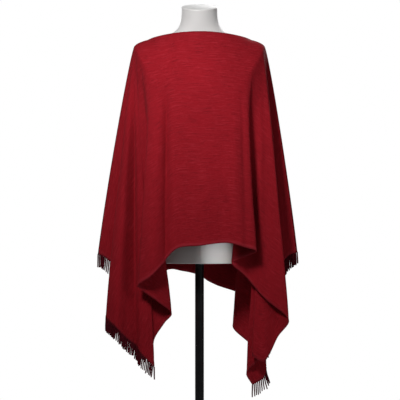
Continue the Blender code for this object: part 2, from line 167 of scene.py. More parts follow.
# %% Hang lines of the back panel
BACK_LINES = [
    # name            angle   x       y       z
    ("left_end",        0.0, -0.321,  0.000,  0.714),
    ("left_end_in",     1.6, -0.303,  0.013,  0.706),
    ("left_hidden",     3.4, -0.246,  0.030,  0.648),
    ("left_return",     5.4, -0.268,  0.066,  0.570),
    ("left_drape",      7.6, -0.280,  0.104,  0.515),
    ("left_drape_mid", 10.0, -0.244,  0.136,  0.474),
    ("left_valley",    12.4, -0.206,  0.118,  0.440),
    ("left_corner",    15.4, -0.166,  0.122,  0.398),
    ("left_hem_4",     20.0, -0.158,  0.088,  0.468),
    ("left_hem_3b",    25.0, -0.126,  0.078,  0.512),
    ("left_hem_3",     29.0, -0.108,  0.096,  0.540),
    ("left_hem_2b",    37.0, -0.146,  0.130,  0.574),
    ("left_hem_2",     47.0, -0.190,  0.150,  0.604),
    ("left_hem_1b",    54.0, -0.154,  0.180,  0.632),
    ("left_hem_1",     62.0, -0.098,  0.172,  0.660),
    ("left_hem_0",     75.0, -0.052,  0.154,  0.655),
    ("middle",         88.0, -0.006,  0.168,  0.643),
    ("right_hem_0",   102.0,  0.048,  0.152,  0.613),
    ("right_hem_1",   115.0,  0.112,  0.172,  0.590),
    ("right_hem_2b",  123.0,  0.152,  0.172,  0.576),
    ("right_hem_2",   132.0,  0.190,  0.148,  0.560),
    ("right_hem_3b",  140.0,  0.148,  0.124,  0.522),
    ("right_hem_3",   147.0,  0.106,  0.102,  0.481),
    ("right_hem_4",   155.0,  0.152,  0.079,  0.434),
    ("right_corner",  161.0,  0.200,  0.092,  0.392),
    ("right_low",     165.0,  0.224,  0.122,  0.462),
    ("right_drape",   169.0,  0.266,  0.112,  0.540),
    ("right_return",  172.5,  0.252,  0.070,  0.600),
    ("right_hidden",  175.8,  0.236,  0.032,  0.655),
    ("right_end_in",  178.4,  0.290,  0.013,  0.708),
    ("right_end",     180.0,  0.309,  0.000,  0.7215),
]
print("hang lines of the back:", len(BACK_LINES))

# %% [markdown]
# ## How the cloth hangs
# Each panel is a fan of hang lines, one beside the other. A line starts at the neckline,
# passes over the shoulder or the chest, and falls to the lower edge. The two tables above
# say where a line ends, so a fold is a place where the row of ends turns back on itself.
# The solids are made from the same tables, only coarser, and so the fine cloth keeps
# to their form.

# %% Smooth curves through a few points
def cubic(f):
    """The four weights of a curve through two points with a slope at each."""
    return (2 * f ** 3 - 3 * f ** 2 + 1, f ** 3 - 2 * f ** 2 + f,
            3 * f ** 2 - 2 * f ** 3, f ** 3 - f ** 2)


def spline(points, knots, at):
    """A smooth curve through points that are unevenly spaced, read at one place."""
    last = len(knots) - 1
    i = 0
    while i < last - 1 and at > knots[i + 1]:
        i += 1
    span = knots[i + 1] - knots[i]
    w = cubic((at - knots[i]) / span)
    out = []
    for k in range(len(points[0])):
        here, there = points[i][k], points[i + 1][k]
        m0 = m1 = (there - here) / span
        if i > 0:
            m0 = (there - points[i - 1][k]) / (knots[i + 1] - knots[i - 1])
        if i < last - 1:
            m1 = (points[i + 2][k] - here) / (knots[i + 2] - knots[i])
        out.append(w[0] * here + w[1] * span * m0 + w[2] * there + w[3] * span * m1)
    return out


def oval(angle, half_w, depth, power):
    """A place on one half of an oval, from the left seam over the middle to the right one."""
    c, s = math.cos(math.radians(angle)), math.sin(math.radians(angle))
    x = -half_w * math.copysign(abs(c) ** (2 / power), c)
    return x, depth * abs(s) ** (2 / power)


def hermite(p0, t0, p1, t1, f):
    w = cubic(f)
    return p0 * w[0] + t0 * w[1] + p1 * w[2] + t1 * w[3]


print("half-way weights of the curve:", cubic(0.5))

# %% [markdown]
# ### One hang line
# The cloth leaves the neck, turns over the shoulder line and falls. Two joined curves give
# that, and they share one direction where they meet, so the shoulder shows no kink.

# %% A hang line
def hang_line(angle, end, side, upper, lower):
    """Points of one line of cloth, from the neckline to its end. The front's side is -1."""
    x, y = oval(angle, NECK_HALF_W, NECK_FRONT_Y if side < 0 else NECK_BACK_Y, 2.0)
    neck = Vector((x, side * y, NECK_Z - NECK_DROP * x * x))
    depth, low = (CHEST_Y, CHEST_Z) if side < 0 else (BACK_Y, BLADE_Z)
    x, y = oval(angle, SHOULDER_X, depth, SHELF_POWER)
    rise = abs(x / SHOULDER_X) ** SHELF_RISE
    shelf = Vector((x, side * y, low + (SHOULDER_Z - low) * rise))
    up, down = (shelf - neck), (end - shelf)
    bend = (up.normalized() + down.normalized()).normalized()
    first = up.length * TOP_PULL
    start = (up.normalized() * NECK_ALONG + Vector((0, side * NECK_OUT, 0.0))).normalized()
    points = []
    for k in range(upper):
        points.append(hermite(neck, start * first, shelf, bend * first, k / upper))
    fall = (down.normalized() * FALL_AIM + Vector((0, 0, -FALL_DOWN))).normalized()
    turn = bend * min(first, TURN_REACH) * TURN_PULL
    for k in range(lower + 1):
        f = (k / lower) ** ROW_SPREAD
        points.append(hermite(shelf, turn, end, fall * down.length * FALL_PULL, f))
    return points


def length_of(points):
    return sum((b - a).length for a, b in zip(points, points[1:]))


left_seam = hang_line(FRONT_LINES[0][1], Vector(FRONT_LINES[0][2:]), -1, 4, 9)
print("left seam", round(length_of(left_seam), 3), "m long")

# %% [markdown]
# ### The lower edge
# Places on the lower edge are measured along it, from the left seam. The edge is a smooth
# curve through the ends in the table, but it starts anew at both corners of the cloth,
# because a cut corner is sharp.

# %% Places along the lower edge
def edge_knots(table):
    knots = [0.0]
    for a, b in zip(table, table[1:]):
        knots.append(knots[-1] + (Vector(b[2:]) - Vector(a[2:])).length)
    return knots


def row_of(table, name):
    return [row[0] for row in table].index(name)


def edge_point(table, knots, at):
    """Angle and end of the hang line at a place on the lower edge, with sharp cloth corners."""
    breaks = [0, row_of(table, "left_corner"), row_of(table, "right_corner"), len(table) - 1]
    for a, b in zip(breaks, breaks[1:]):
        if at <= knots[b]:
            break
    return spline([row[1:] for row in table[a:b + 1]], knots[a:b + 1], at)


print("lower edge with both ends, front", round(edge_knots(FRONT_LINES)[-1], 3), "m, back",
      round(edge_knots(BACK_LINES)[-1], 3), "m")

# %% [markdown]
# ## From hang lines to cloth
# The fine cloth has enough lines and rows for its folds to look round. Its hem and its neck
# have a turned band, a little thicker than the cloth, with a groove beside it where the
# stitches pull the cloth in.

# %% Fineness of the cloth and size of the hem
FINE_STEP = 0.0065
FINE_UPPER = 24
FINE_LOWER = 78
HEM_BAND = 0.010
HEM_EXTRA = 0.0012
HEM_GROOVE = 0.0007
HEM_STEP = 0.8             # shares of the band's height: the hem's step starts here
NECK_STEP = (0.7, 0.9)     # the neck band's step starts and ends here
GROOVE_AT = 1.25           # the groove's middle, and how wide it is
GROOVE_W = 0.25
HEM_HIGHLIGHT_FROM = 0.7            # the hem's painted highlight starts to fade here
print("a line every", FINE_STEP, "m, and a hem", HEM_BAND, "m high")

# %% [markdown]
# ### Soft folds, placed one by one
# Real cloth has soft troughs between its large folds. A simulation would find its own, in other
# places than the real ones, so each is placed one by one, beside a hang line by name.
# Depth is in metres, minus goes inward, and the fold fades in between two shares of the
# line's length.

# %% Soft folds of both panels
SOFT_FOLDS = [
    # panel   beside            offset  half_w  depth    from  to
    ("front", "left_end_in",     0.030, 0.022, -0.0050,  0.30, 0.80),
    ("front", "left_drape",      0.000, 0.020,  0.0030,  0.35, 0.80),
    ("front", "left_valley",     0.028, 0.024, -0.0280,  0.12, 0.62),
    ("front", "left_low",        0.036, 0.018,  0.0040,  0.30, 0.85),
    ("front", "left_hem_2",      0.000, 0.016,  0.0040,  0.25, 0.75),
    ("front", "left_hem_1",      0.010, 0.026, -0.0280,  0.12, 0.62),
    ("front", "left_hem_0",     -0.010, 0.020,  0.0045,  0.25, 0.80),
    ("front", "middle",         -0.030, 0.022, -0.0034,  0.44, 0.85),
    ("front", "middle",          0.020, 0.022,  0.0030,  0.30, 0.85),
    ("front", "right_hem_0",    -0.020, 0.018, -0.0036,  0.44, 0.80),
    ("front", "right_hem_0",     0.022, 0.018,  0.0040,  0.28, 0.75),
    ("front", "right_hem_1",     0.010, 0.015, -0.0085,  0.20, 0.70),
    ("front", "right_hem_3b",    0.070, 0.040,  0.0120,  0.22, 0.70),
    ("front", "right_end_in",   -0.020, 0.022,  0.0030,  0.35, 0.80),
    ("back",  "left_end_in",     0.030, 0.022, -0.0040,  0.30, 0.80),
    ("back",  "left_valley",     0.000, 0.020, -0.0040,  0.35, 0.85),
    ("back",  "left_hem_1b",     0.020, 0.018,  0.0036,  0.25, 0.75),
    ("back",  "left_hem_0",     -0.006, 0.016, -0.0050,  0.20, 0.70),
    ("back",  "middle",         -0.012, 0.018,  0.0052,  0.22, 0.75),
    ("back",  "right_hem_0",    -0.022, 0.016, -0.0056,  0.20, 0.70),
    ("back",  "right_hem_0",     0.020, 0.018,  0.0044,  0.26, 0.80),
    ("back",  "right_hem_1",     0.010, 0.016, -0.0030,  0.30, 0.80),
    ("back",  "right_drape",    -0.020, 0.020,  0.0036,  0.30, 0.80),
]
print("soft folds placed by hand:", len(SOFT_FOLDS))

# %% [markdown]
# ### Places on the flat cut
# Every point of the cloth knows its place on the flat cut, in metres. The weave follows
# that place, so its streaks lie across the front and tip over in the side folds, as yarn
# does. The lower edge runs up the left end, along the hem and up the right end.

# %% A place on the flat cut
def ease(low, high, at):
    f = min(max((at - low) / (high - low), 0.0), 1.0)
    return f * f * (3 - 2 * f)


def corner_places(table, knots):
    return knots[row_of(table, "left_corner")], knots[row_of(table, "right_corner")]


def flat_end(table, knots, at, length):
    """Where a hang line ends on the flat cut."""
    a, b = corner_places(table, knots)
    if at <= a:
        return -CUT_W / 2, length * at / a
    if at >= b:
        return CUT_W / 2, length * (knots[-1] - at) / (knots[-1] - b)
    return -CUT_W / 2 + CUT_W * (at - a) / (b - a), length


corners = corner_places(FRONT_LINES, edge_knots(FRONT_LINES))
print("corners of the front at", [round(at, 3) for at in corners], "m along its edge")

# %% [markdown]
# ### The grid of one panel
# The hang lines side by side make a grid of points. A point's normal follows from its four
# neighbours, and along the seams it is kept level with the seam, so that the two panels
# meet flat.

# %% Grid of points, and their normals
def fine_grid(table, side):
    knots = edge_knots(table)
    grid, flats, ats = [], [], []
    for k in range(len(knots) - 1):
        span = knots[k + 1] - knots[k]
        steps = max(3, round(span / FINE_STEP))
        ats += [knots[k] + span * s / steps for s in range(steps)]
    ats.append(knots[-1])
    for at in ats:
        angle, x, y, z = edge_point(table, knots, at)
        line = hang_line(angle, Vector((x, y, z)), side, FINE_UPPER, FINE_LOWER)
        total, runs = 0.0, [0.0]
        for p, q in zip(line, line[1:]):
            total += (q - p).length
            runs.append(total)
        slit = -NECK_HALF_W * math.cos(math.radians(angle))
        fx, fy = flat_end(table, knots, at, FRONT_LENGTH if side < 0 else BACK_LENGTH)
        grid.append(line)
        flats.append([(slit + (fx - slit) * r / total, fy * r / total, r, total) for r in runs])
    for line in (grid[0], grid[-1]):
        for point in line:
            point.y = side * SEAM_GAP / 2
    return grid, flats, ats


def grid_normals(grid, side):
    last_c, last_r = len(grid) - 1, len(grid[0]) - 1
    normals = []
    for i, line in enumerate(grid):
        out = []
        for j in range(last_r + 1):
            across = grid[min(i + 1, last_c)][j] - grid[max(i - 1, 0)][j]
            along = line[min(j + 1, last_r)] - line[max(j - 1, 0)]
            n = across.cross(along) * side
            if i in (0, last_c):
                n.y = 0.0
            out.append(n.normalized())
        normals.append(out)
    return normals


print("rows of the grid:", FINE_UPPER + FINE_LOWER + 1)

# %% [markdown]
# ### Round the tight turns
# Stiff cloth can't turn as tightly as the lines do near the shoulder, so neighbours are
# averaged there, a dozen times. Toward the lower edge this fades out, since the outline of
# the folds is known there and has to stay.

# %% Relax the grid
RELAX_PASSES = 12
RELAX_SHARE = 0.5
RELAX_FADE = (0.70, 0.97)    # shares of a line's rows, where relaxing starts to fade and ends


def relax(grid):
    """Round the tightest turns. The lower edge and the seams stay."""
    last = len(grid[0]) - 1
    for _ in range(RELAX_PASSES):
        before = [line[:] for line in grid]
        for i in range(1, len(grid) - 1):
            for j in range(last + 1):
                share = RELAX_SHARE * (1 - ease(*RELAX_FADE, j / last))
                middle = (before[i - 1][j] + before[i + 1][j]) * 0.5
                grid[i][j] = before[i][j].lerp(middle, share)


print("relaxing", RELAX_PASSES, "times, each half of the way to the neighbours' middle")

# %% [markdown]
# ### Soft folds and unevenness
# Each soft fold pushes the grid along its normals, as a valley with straight walls and a
# short round bottom. A faint noise keeps the middle from looking ironed. Where the cloth
# rests on the form it can only rise, so the noise is lifted there. All of it fades at the
# seams and near the neck.

# %% Add the soft folds
VALLEY_BOTTOM = 0.3          # how much of a fold's half width is its round bottom
SEAM_FADE = 0.05             # the folds fade over this much of the lower edge, next to a seam
NECK_FADE = (0.02, 0.20)     # shares of a line's length, where the unevenness fades in
REST_HALF_W = 0.10           # within this of the middle the cloth rests on the form
REST_LIFT = 0.9
NOISE_PLACE = {"front": 3.0, "back": 9.0}
BUMPS = [
    # depth   across the cut, down it, place
    (0.0014,  9.0,  4.0, 0.0),
    (0.0004, 26.0, 14.0, 5.0),
]


def trough(far, half_w):
    bottom = half_w * VALLEY_BOTTOM
    return math.exp(-(math.hypot(far, bottom) - bottom) / half_w)


def soften(table, grid, flats, ats, side, panel):
    """Add the folds of one panel to its grid, and give the grid's new normals."""
    relax(grid)
    normals = grid_normals(grid, side)
    knots = edge_knots(table)
    folds = [(knots[row_of(table, beside)] + offset, half_w, depth, low, high)
             for name, beside, offset, half_w, depth, low, high in SOFT_FOLDS if name == panel]
    for i, line in enumerate(grid):
        seam = ease(0.0, SEAM_FADE, ats[i]) * ease(0.0, SEAM_FADE, ats[-1] - ats[i])
        for j, point in enumerate(line):
            fx, fy, run, total = flats[i][j]
            t = run / total
            push = 0.0
            for at, half_w, depth, low, high in folds:
                push += depth * trough(ats[i] - at, half_w) * ease(low, high, t)
            lift = REST_LIFT * (1 - ease(REST_HALF_W, REST_HALF_W * 1.5, abs(point.x)))
            uneven = 0.0
            for depth, across, down, place in BUMPS:
                at_cut = Vector((fx * across, fy * down, NOISE_PLACE[panel] + place))
                uneven += depth * (noise.noise(at_cut) + lift)
            push += uneven * ease(*NECK_FADE, t)
            line[j] = point + normals[i][j] * push * seam
    return grid_normals(grid, side)


print("a trough is", round(trough(0.02, 0.02), 2), "of its depth at its half width")

# %% [markdown]
# ### From grid to a closed sheet
# The grid is the middle of the cloth. Its points are moved out on both sides by half the
# thickness and joined round the border, so the sheet is closed and has a real edge. A
# Solidify modifier could do this too, with a vertex group for the hem. Here the thickness
# simply follows from how far a point is from the edge.

# %% Faces of a closed sheet
def sheet_faces(cols, rows):
    half = cols * rows
    faces = []
    for i in range(cols - 1):
        for j in range(rows - 1):
            a, b = i * rows + j, (i + 1) * rows + j
            faces.append((a, b, b + 1, a + 1))
            faces.append((half + a, half + a + 1, half + b + 1, half + b))
    for i in range(cols - 1):
        for j in (0, rows - 1):
            a, b = i * rows + j, (i + 1) * rows + j
            quad = (a, half + a, half + b, b)
            faces.append(quad if j == 0 else quad[::-1])
    for j in range(rows - 1):
        for i in (0, cols - 1):
            a = i * rows + j
            quad = (a, a + 1, half + a + 1, half + a)
            faces.append(quad if i == 0 else quad[::-1])
    return faces


print("a sheet of 3 by 4 points has", len(sheet_faces(3, 4)), "faces")

# %% [markdown]
# ### The flat cut as a UV map
# A UV map is usually squeezed into a square. This one is left in metres on the flat cloth, so the
# weave has the same scale on both panels. An attribute beside it is 1 along the lower edge and 0
# elsewhere, and the cloth's material uses it to paint a paler highlight on the rolled hem.

# %% A closed sheet with its flat cut
def shell(name, grid, flats, normals, thick_at):
    """Closed sheet about a grid, with its flat place as a UV map in metres."""
    cols, rows = len(grid), len(grid[0])
    half = cols * rows
    verts = []
    for sign in (0.5, -0.5):
        for i in range(cols):
            for j in range(rows):
                verts.append(grid[i][j] + normals[i][j] * (sign * thick_at(i, j)))
    mesh = bpy.data.meshes.new(name)
    mesh.from_pydata(verts, [], sheet_faces(cols, rows))
    uv = mesh.uv_layers.new(name="cut")
    # this attribute is the mask of a painted highlight along the rolled hem
    hem = mesh.attributes.new("hem", "FLOAT", "POINT")
    for loop in mesh.loops:
        k = loop.vertex_index % half
        uv.data[loop.index].uv = flats[k // rows][k % rows][:2]
    for k in range(len(verts)):
        run, total = flats[(k % half) // rows][(k % half) % rows][2:]
        hem.data[k].value = 1.0 - ease(HEM_BAND * HEM_HIGHLIGHT_FROM, HEM_BAND, total - run)
    turn_outward(mesh)
    mesh.shade_smooth()
    return mesh


print("hem band", HEM_BAND, "m, cloth", CLOTH_T, "m thick")

# %% [markdown]
# ### Both panels
# One function makes either panel, so front and back differ only in their tables and sizes.
# The hem ends at the cloth's corners, because the short ends are fringed instead.

# %% Build the front and the back
def build_panel(name, table, side, panel):
    grid, flats, ats = fine_grid(table, side)
    normals = soften(table, grid, flats, ats, side, panel)
    a, b = corner_places(table, edge_knots(table))

    def thick_at(i, j):
        run, total = flats[i][j][2:]
        on_hem = ease(a, a + HEM_BAND, ats[i]) * (1 - ease(b - HEM_BAND, b, ats[i]))
        low = (1 - ease(HEM_BAND * HEM_STEP, HEM_BAND, total - run)) * on_hem
        top = 1 - ease(HEM_BAND * NECK_STEP[0], HEM_BAND * NECK_STEP[1], run)
        edge = min(total - run if on_hem > 0.5 else total, run)
        groove = math.exp(-((edge - HEM_BAND * GROOVE_AT) / (HEM_BAND * GROOVE_W)) ** 2)
        return CLOTH_T + HEM_EXTRA * max(low, top) - HEM_GROOVE * groove

    return put(name, shell(name, grid, flats, normals, thick_at)), grid, ats


front, front_grid, front_ats = build_panel("poncho_front", FRONT_LINES, -1, "front")
back, back_grid, back_ats = build_panel("poncho_back", BACK_LINES, 1, "back")
print("front panel faces", len(front.data.polygons), "back", len(back.data.polygons))

# %% [markdown]
# ## Fringe
# On the real poncho the crosswise yarns run out of the short ends and hang down as
# strands, about six millimetres apart. They repeat along a path, so Geometry Nodes
# make them: a line is set on each point of the cloth's end, bent a little by noise and
# turned into a thin yarn. First come the sizes, and helpers that add a node to a tree.

# %% Strand sizes, and helpers that add a node
STRAND_SPACE = 0.0063
STRAND_LEN = 0.041
STRAND_R = 0.00225
STRAND_SWAY = 0.0014


def feed(tree, socket, value):
    """Link another node's output to this input, or set a plain value on it."""
    if isinstance(value, bpy.types.NodeSocket):
        tree.links.new(value, socket)
    else:
        socket.default_value = value


def new_node(tree, kind, *first, **named):
    """Add a node. A name with a capital is an input, with _ for a space; others are settings."""
    node = tree.nodes.new(kind)
    for name, value in named.items():
        if name[0].isupper():
            feed(tree, node.inputs[name.replace("_", " ")], value)
        else:
            setattr(node, name, value)
    for socket, value in zip(node.inputs, first):
        feed(tree, socket, value)
    return node


def calc(tree, operation, *values):
    return new_node(tree, "ShaderNodeMath", *values, operation=operation).outputs[0]


print("strands", STRAND_SPACE, "m apart and", STRAND_LEN, "m long")

# %% [markdown]
# ### Lines on the edge
# The path of a short end is cut into as many points as it has strands. A straight line is
# set on each point and turned the way it should hang, and no two are quite as long. They
# are made real at once, so that the noise of the next step differs from strand to strand.

# %% Set the lines
STRAND_POINTS = 10
STRAND_SHORTEST = 0.86    # shares of the strand's length
STRAND_LONGEST = 1.04


def lines_on_edge(tree, source):
    path = new_node(tree, "GeometryNodeMeshToCurve", Mesh=source.outputs["Edge"])
    points = new_node(tree, "GeometryNodeResampleCurve", mode="COUNT", Curve=path.outputs[0],
                      Count=source.outputs["Count"])
    low = new_node(tree, "ShaderNodeCombineXYZ",
                   Z=calc(tree, "MULTIPLY", source.outputs["Length"], -1.0))
    line = new_node(tree, "GeometryNodeCurvePrimitiveLine",
                    Start=(0.0, 0.0, 0.0), End=low.outputs[0])
    fine = new_node(tree, "GeometryNodeResampleCurve", mode="COUNT", Curve=line.outputs[0],
                    Count=STRAND_POINTS)
    hang = new_node(tree, "GeometryNodeInputNamedAttribute", data_type="FLOAT_VECTOR", Name="hang")
    turn = new_node(tree, "FunctionNodeAlignRotationToVector", axis="Z", Vector=hang.outputs[0])
    size = new_node(tree, "FunctionNodeRandomValue", data_type="FLOAT_VECTOR",
                    Min=(1.0, 1.0, STRAND_SHORTEST), Max=(1.0, 1.0, STRAND_LONGEST),
                    Seed=source.outputs["Seed"])
    placed = new_node(tree, "GeometryNodeInstanceOnPoints", Points=points.outputs[0],
                      Instance=fine.outputs[0], Rotation=turn.outputs[0],
                      Scale=size.outputs["Value"])
    return new_node(tree, "GeometryNodeRealizeInstances", placed.outputs[0]).outputs[0]


print("each strand has", STRAND_POINTS, "points")

# %% [markdown]
# ### Bend and thicken
# A yarn is stiff where it leaves the cloth and wanders toward its tip, so the shift by noise
# grows along the strand. Its round section thins out near the tip. Small functions keep a
# node tree readable, as they would keep a long sum.

# %% Bend the lines and give them a section
BEND_GROWTH = 1.4
BEND_NOISE = 70.0
BEND_REACH = (2.6, 2.6, 0.4)
YARN_SIDES = 6
TAPER_FROM = 0.60
TIP_SHARE = 0.85


def bent(tree, source, lines, along):
    grow = calc(tree, "POWER", along.outputs["Factor"], BEND_GROWTH)
    sway = calc(tree, "MULTIPLY", grow, source.outputs["Sway"])
    where = new_node(tree, "GeometryNodeInputPosition")
    cloud = new_node(tree, "ShaderNodeTexNoise", noise_dimensions="4D", Vector=where.outputs[0],
                     W=source.outputs["Seed"], Scale=BEND_NOISE, Detail=1.0)
    centred = new_node(tree, "ShaderNodeVectorMath", cloud.outputs["Color"], (0.5, 0.5, 0.5),
                       operation="SUBTRACT")
    wide = new_node(tree, "ShaderNodeVectorMath", centred.outputs[0], BEND_REACH,
                    operation="MULTIPLY")
    shift = new_node(tree, "ShaderNodeVectorMath", wide.outputs[0], operation="SCALE", Scale=sway)
    return new_node(tree, "GeometryNodeSetPosition", lines, Offset=shift.outputs[0]).outputs[0]


def thickened(tree, source, lines, along):
    taper = new_node(tree, "ShaderNodeMapRange", Value=along.outputs["Factor"],
                     From_Min=TAPER_FROM, From_Max=1.0, To_Min=1.0, To_Max=TIP_SHARE)
    radius = calc(tree, "MULTIPLY", taper.outputs["Result"], source.outputs["Radius"])
    ring = new_node(tree, "GeometryNodeCurvePrimitiveCircle", Resolution=YARN_SIDES, Radius=1.0)
    yarn = new_node(tree, "GeometryNodeCurveToMesh", Curve=lines, Profile_Curve=ring.outputs[0],
                    Scale=radius, Fill_Caps=True)
    return new_node(tree, "GeometryNodeSetShadeSmooth", yarn.outputs[0]).outputs[0]


print("a yarn has", YARN_SIDES, "sides and is", 2 * STRAND_R, "m thick")

# %% [markdown]
# ### The whole strand tree
# Its inputs are the sizes that a maker would name, so one tree serves all four fringes with
# a count and a seed of their own. It ends in plain meshes that carry their material.

# %% Join the steps in one tree
def add_sockets(tree, way, rows):
    for name, kind, value in rows:
        socket = tree.interface.new_socket(name, in_out=way, socket_type="NodeSocket" + kind)
        if value is not None:
            socket.default_value = value


def fringe_tree(material):
    tree = bpy.data.node_groups.new("strands_on_edge", "GeometryNodeTree")
    add_sockets(tree, "INPUT", [
        ("Edge", "Geometry", None), ("Length", "Float", STRAND_LEN), ("Radius", "Float", STRAND_R),
        ("Sway", "Float", STRAND_SWAY), ("Count", "Int", 90), ("Seed", "Int", 1)])
    add_sockets(tree, "OUTPUT", [("Strands", "Geometry", None)])
    source = tree.nodes.new("NodeGroupInput")
    along = new_node(tree, "GeometryNodeSplineParameter")
    lines = bent(tree, source, lines_on_edge(tree, source), along)
    yarns = thickened(tree, source, lines, along)
    dressed = new_node(tree, "GeometryNodeSetMaterial", yarns, Material=material)
    new_node(tree, "NodeGroupOutput", dressed.outputs[0])
    return tree


print("sockets of the tree: Edge, Length, Radius, Sway, Count and Seed in, Strands out")

# %% [markdown]
# ## Materials
# The cloth is one colour of red with lighter and darker yarns twisted in, which show as
# short streaks across. Three node groups are shared: the streaks of the melange, the fine
# knit relief, and a soft blotch for paint and metal. Each gives a colour or a height only,
# and the shader stays in the material.

# %% A helper that starts a node group
def group(name, inputs, outputs):
    tree = bpy.data.node_groups.new(name, "ShaderNodeTree")
    add_sockets(tree, "INPUT", inputs)
    add_sockets(tree, "OUTPUT", [(label, kind, None) for label, kind in outputs])
    return tree, tree.nodes.new("NodeGroupInput"), tree.nodes.new("NodeGroupOutput")


print("node groups before the shared ones:", len(bpy.data.node_groups))

# %% [markdown]
# ### Melange streaks
# Noise that is stretched along the yarn looks like fibres of another shade. Two layers of
# pale fibres and one of dark ones, cut off softly, are laid over the base colour.

# %% The melange group
MELANGE_LAYERS = [
    # shade   scale on the cut      from  to    place
    ("Light", (20.0, 330.0, 1.0), 0.52, 0.74,  0.0),
    ("Dark",  (26.0, 380.0, 1.0), 0.50, 0.76,  7.0),
    ("Light", (90.0, 900.0, 1.0), 0.52, 0.78, 13.0),
]


def melange_group():
    tree, source, target = group("melange", [
        ("Place", "Vector", None), ("Base", "Color", (0.3, 0.02, 0.03, 1)),
        ("Light", "Color", (0.5, 0.08, 0.1, 1)), ("Dark", "Color", (0.1, 0.005, 0.01, 1)),
        ("Amount", "Float", 0.6)], [("Color", "Color"), ("Streak", "Float")])
    color = source.outputs["Base"]
    streak = None
    for shade, scale, low, high, seed in MELANGE_LAYERS:
        place = new_node(tree, "ShaderNodeMapping", Vector=source.outputs["Place"], Scale=scale,
                         Location=(seed, seed * 0.7, 0.0))
        cloud = new_node(tree, "ShaderNodeTexNoise", noise_dimensions="2D",
                         Vector=place.outputs[0], Scale=1.0, Detail=2.5, Roughness=0.6)
        cut = new_node(tree, "ShaderNodeMapRange", interpolation_type="SMOOTHSTEP",
                       Value=cloud.outputs[0], From_Min=low, From_Max=high)
        part = calc(tree, "MULTIPLY", cut.outputs["Result"], source.outputs["Amount"])
        mix = new_node(tree, "ShaderNodeMix", data_type="RGBA", Factor=part, A=color,
                       B=source.outputs[shade])
        color = mix.outputs["Result"]
        streak = streak or cut.outputs["Result"]
    feed(tree, target.inputs["Color"], color)
    feed(tree, target.inputs["Streak"], streak)
    return tree


MELANGE = melange_group()
print("melange inputs:", [i.name for i in MELANGE.interface.items_tree if i.in_out == "INPUT"])

# %% [markdown]
# ### Knit relief
# Fine knitting is rows of small loops. Two crossed waves give them, with the rows a little
# stronger than the columns. At this size they only roughen the light, as on the real cloth.

# %% The knit group
ROW_STRENGTH = 0.5


def knit_group():
    tree, source, target = group("knit_relief", [
        ("Place", "Vector", None), ("Pitch", "Float", 0.0016)], [("Height", "Float")])
    turns = calc(tree, "DIVIDE", 2 * math.pi, source.outputs["Pitch"])
    split = new_node(tree, "ShaderNodeSeparateXYZ", source.outputs["Place"])
    columns, rows = [calc(tree, "SINE", calc(tree, "MULTIPLY", split.outputs[axis], turns))
                     for axis in ("X", "Y")]
    loops = calc(tree, "MULTIPLY", columns, rows)
    feed(tree, target.inputs["Height"], calc(tree, "MULTIPLY_ADD", rows, ROW_STRENGTH, loops))
    return tree


KNIT = knit_group()
print("knit outputs:", [i.name for i in KNIT.interface.items_tree if i.in_out == "OUTPUT"])

# %% [markdown]
# ### Blotch
# Nothing is evenly coloured: paint, steel and dyed yarn all vary softly from place to
# place. One noise between two levels does for all of them, at a scale each material sets.

# %% The blotch group
NOISE_SPAN = (0.3, 0.7)    # nearly all of a noise lies between these


def blotch_group():
    tree, source, target = group("blotch", [
        ("Scale", "Float", 8.0), ("Low", "Float", 0.9), ("High", "Float", 1.0)],
        [("Value", "Float")])
    where = new_node(tree, "ShaderNodeTexCoord")
    cloud = new_node(tree, "ShaderNodeTexNoise", Vector=where.outputs["Object"],
                     Scale=source.outputs["Scale"], Detail=4.0)
    span = new_node(tree, "ShaderNodeMapRange", Value=cloud.outputs[0],
                    From_Min=NOISE_SPAN[0], From_Max=NOISE_SPAN[1],
                    To_Min=source.outputs["Low"], To_Max=source.outputs["High"])
    feed(tree, target.inputs["Value"], span.outputs["Result"])
    return tree


BLOTCH = blotch_group()
print("node groups:", [g.name for g in (MELANGE, KNIT, BLOTCH)])

# %% [markdown]
# ### What every material needs
# A material starts with its plain values, then a shared group is put in it, a colour is
# toned by a blotch, and a height becomes a relief. With a short function for each of these,
# a finish reads like a list of what it is made of.

# %% Helpers for materials
def start_material(name, **values):
    """A material, its tree and its surface node, with plain values on the surface."""
    mat = bpy.data.materials.new(name)
    mat.use_nodes = True
    bsdf = mat.node_tree.nodes["Principled BSDF"]
    for key, value in values.items():
        bsdf.inputs[key.replace("_", " ")].default_value = value
    return mat, mat.node_tree, bsdf


def use(tree, shared, **values):
    """Put a shared group in a material, with a value or a link on each of its inputs."""
    node = new_node(tree, "ShaderNodeGroup", node_tree=shared)
    for name, value in values.items():
        feed(tree, node.inputs[name], value)
    return node


def toned(tree, color, blotch):
    return new_node(tree, "ShaderNodeVectorMath", color, operation="SCALE",
                    Scale=blotch.outputs["Value"]).outputs[0]


def roughen(tree, bsdf, height, strength, depth):
    bump = new_node(tree, "ShaderNodeBump", Strength=strength, Distance=depth, Height=height)
    feed(tree, bsdf.inputs["Normal"], bump.outputs[0])


print("materials so far:", len(bpy.data.materials))

# %% [markdown]
# ### The cloth's material
# The cloth is matt, with hardly a shine. Colour comes from the melange on the flat cut, with a
# painted highlight that makes the rolled hem a little paler, and the relief from the knit and the
# streaks together.

# %% Cloth
RED_BASE = (0.285, 0.0062, 0.0130, 1)
RED_LIGHT = (0.410, 0.0190, 0.0320, 1)
RED_DARK = (0.150, 0.0035, 0.0075, 1)
# the hem's colour is a painted highlight of the rolled edge, paler than the cloth's red
RED_HEM_HIGHLIGHT = (0.340, 0.0200, 0.0320, 1)
RED_SHEEN = (0.800, 0.1200, 0.1400, 1)
MELANGE_AMOUNT = 0.62
KNIT_PITCH = 0.0021
HEM_HIGHLIGHT_SHARE = 0.75          # share of the hem's painted highlight colour
STREAK_HEIGHT = 1.4       # height of the streaks beside that of the knit
CLOTH_RELIEF = 0.00035


